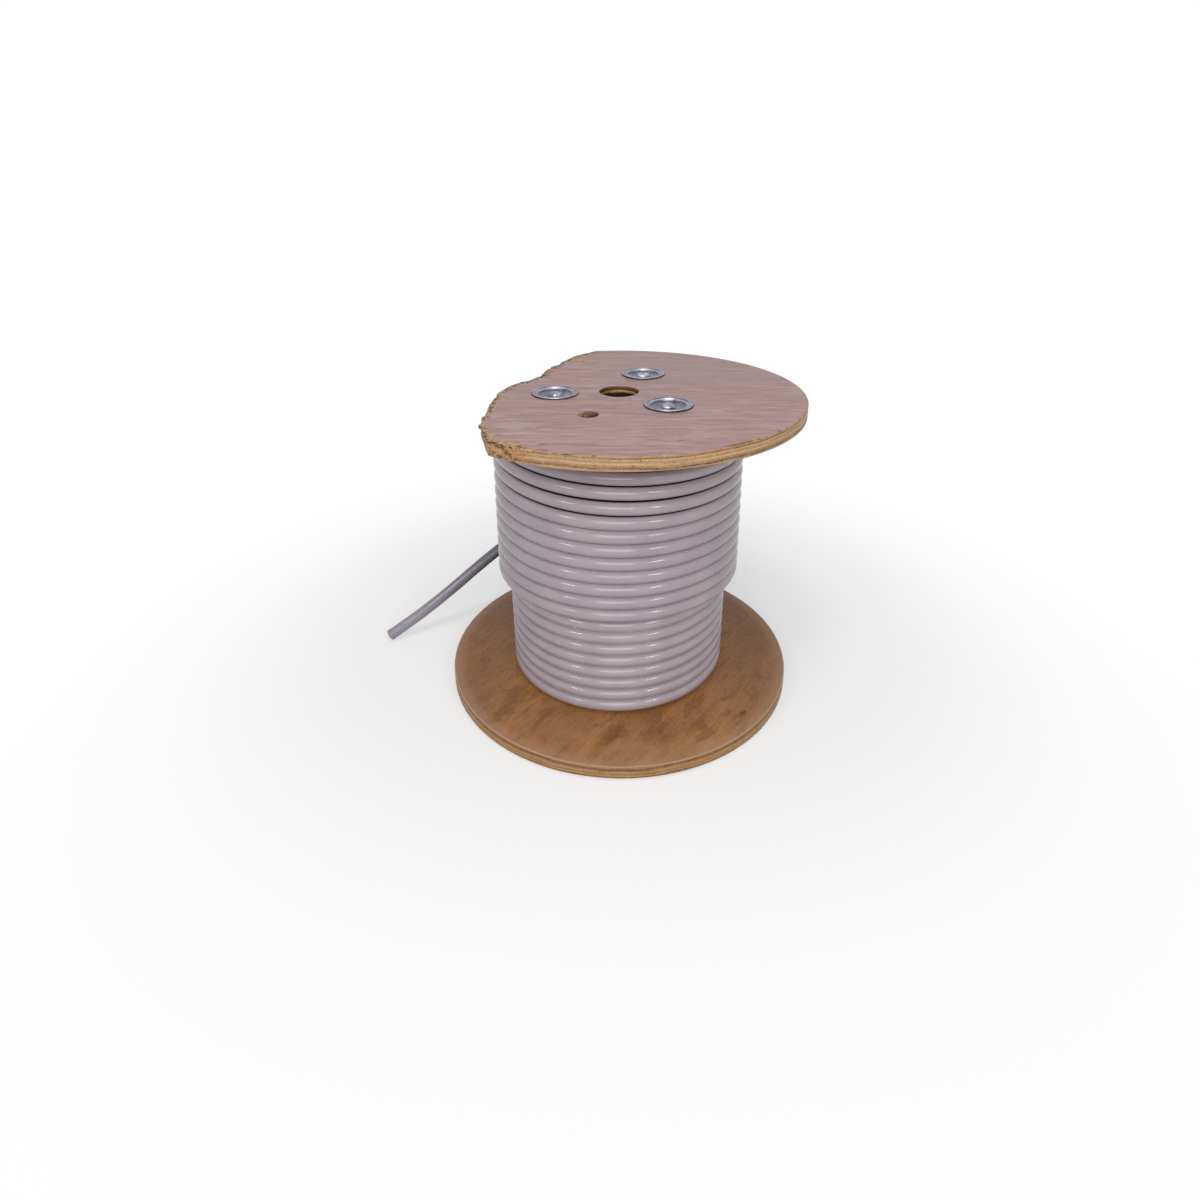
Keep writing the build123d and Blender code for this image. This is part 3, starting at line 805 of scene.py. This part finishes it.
def plain(name, colour, metallic, roughness):
    """A core's finish: the colour, a little clouded."""
    material, tree, surface, place = finish(name)
    clouded = over(tree, times(tree, cloud(tree, place, 0.8), 0.5), colour, paint(90, 84, 80))
    tree.links.new(clouded, surface.inputs["Base Color"])
    surface.inputs["Metallic"].default_value = metallic
    surface.inputs["Roughness"].default_value = roughness
    return material


heading = np.subtract(tail_route[-1], tail_route[-2])
heading = heading / np.linalg.norm(heading)
sideways = np.cross((0, 0, 1), heading)
sideways = sideways / np.linalg.norm(sideways)
facing = np.array([sideways, np.cross(heading, sideways), heading]).T


def on_end(points):
    """Points drawn about the cable's line, with Z out of the cut, moved to the free end."""
    return points @ facing.T + np.array(tail_route[-1]) / mm


sawn_end = drum_mesh("sawn_end", on_end(turned(filler_profile, 48)), sections_close=False)
sawn_end.data.materials.append(plain("filler", paint(158, 152, 154), 0.0, 0.7))
end_pieces = [sawn_end]
copper = plain("copper", paint(196, 124, 84), 1.0, 0.35)
for number, colour in enumerate(core_colours):
    centre = spot(core_reach, core_spacing * number + core_turn)
    for label, profile, look in (("core", core_profile, None), ("wire", copper_profile, copper)):
        piece = drum_mesh(f"{label}_{number + 1}", on_end(turned(profile, 24, centre)), sections_close=False)
        piece.data.materials.append(look or plain(f"core colour {number + 1}", colour, 0.0, 0.4))
        end_pieces.append(piece)
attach(free_end, "root")
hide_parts("cable_tail")
for piece in end_pieces:
    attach(piece, "root")


# Setting
# A pale floor that fades into a white backdrop, soft even light, and the camera where the photograph was
# taken from.

floor_mesh = bpy.data.meshes.new("floor")
floor_mesh.from_pydata([(-4, -4, 0), (4, -4, 0), (4, 4, 0), (-4, 4, 0)], [], [(0, 1, 2, 3)])
floor = bpy.data.objects.new("floor", floor_mesh)
bpy.context.collection.objects.link(floor)
pale, tree, surface, place = finish("pale floor")
surface.inputs["Base Color"].default_value = paint(248, 248, 248)
surface.inputs["Roughness"].default_value = 0.9
surface.inputs["Specular IOR Level"].default_value = 0.1
distance = shade(tree, "VectorMath", {0: place}, operation="LENGTH").outputs["Value"]
clear = shade(tree, "BsdfTransparent")
fade = reckon(tree, "ADD", times(tree, rises(tree, distance, 0.2, 0.7), 0.55), 0.45)
blend = shade(tree, "MixShader", {0: fade, 1: surface.outputs[0], 2: clear.outputs[0]})
tree.links.new(blend.outputs[0], tree.nodes["Material Output"].inputs["Surface"])
floor_mesh.materials.append(pale)

world = bpy.data.worlds.new("studio")
bpy.context.scene.world = world
world.use_nodes = True
tree = world.node_tree
sees = shade(tree, "LightPath").outputs
direct = reckon(tree, "MAXIMUM", reckon(tree, "MAXIMUM", sees["Is Camera Ray"], sees["Is Glossy Ray"]),
                sees["Is Transmission Ray"])
ambient = 0.32
strength = reckon(tree, "ADD", times(tree, direct, 1 - ambient), ambient)
tree.links.new(strength, tree.nodes["Background"].inputs["Strength"])
tree.nodes["Background"].inputs["Color"].default_value = (1, 1, 1, 1)

lamps_face = (0, 0, 0.2)
for name, place, width, height, power in (("left lamp", (-1.2, -1.25, 1.15), 0.34, 0.16, 4.6),
                                          ("right lamp", (0.95, -1.4, 1.1), 0.34, 0.16, 5.4),
                                          ("front softbox", (-0.05, -1.65, 0.95), 1.0, 1.0, 12.8),
                                          ("top softbox", (0.0, -0.45, 1.6), 0.5, 0.5, 4.7)):
    lamp = bpy.data.lights.new(name, "AREA")
    lamp.shape = "RECTANGLE"
    lamp.size, lamp.size_y = width, height
    lamp.energy = power
    light = bpy.data.objects.new(name, lamp)
    bpy.context.collection.objects.link(light)
    light.location = place
    light.rotation_euler = Vector(np.subtract(lamps_face, place)).to_track_quat("-Z", "Y").to_euler()

# The camera, with its focal length and its shift in the photograph's pixels.
pitch, yaw, roll = 0.3442, -0.0273, -0.0069
picture_width, focal_length, picture_shift = 1200, 736.9, -160
camera_place = (0, -0.77474, 0.56578)
lens = bpy.data.cameras.new("camera")
lens.sensor_fit = "HORIZONTAL"
lens.sensor_width = 36.0
lens.lens = focal_length / picture_width * lens.sensor_width
lens.shift_y = picture_shift / picture_width
lens.clip_start = 0.02
camera = bpy.data.objects.new("camera", lens)
bpy.context.collection.objects.link(camera)
camera.matrix_world = (Matrix.Translation(camera_place) @ Matrix.Rotation(-yaw, 4, "Z")
                       @ Matrix.Rotation(np.pi / 2 - pitch, 4, "X") @ Matrix.Rotation(roll, 4, "Z"))
bpy.context.scene.camera = camera
bpy.context.scene.view_settings.view_transform = "Standard"
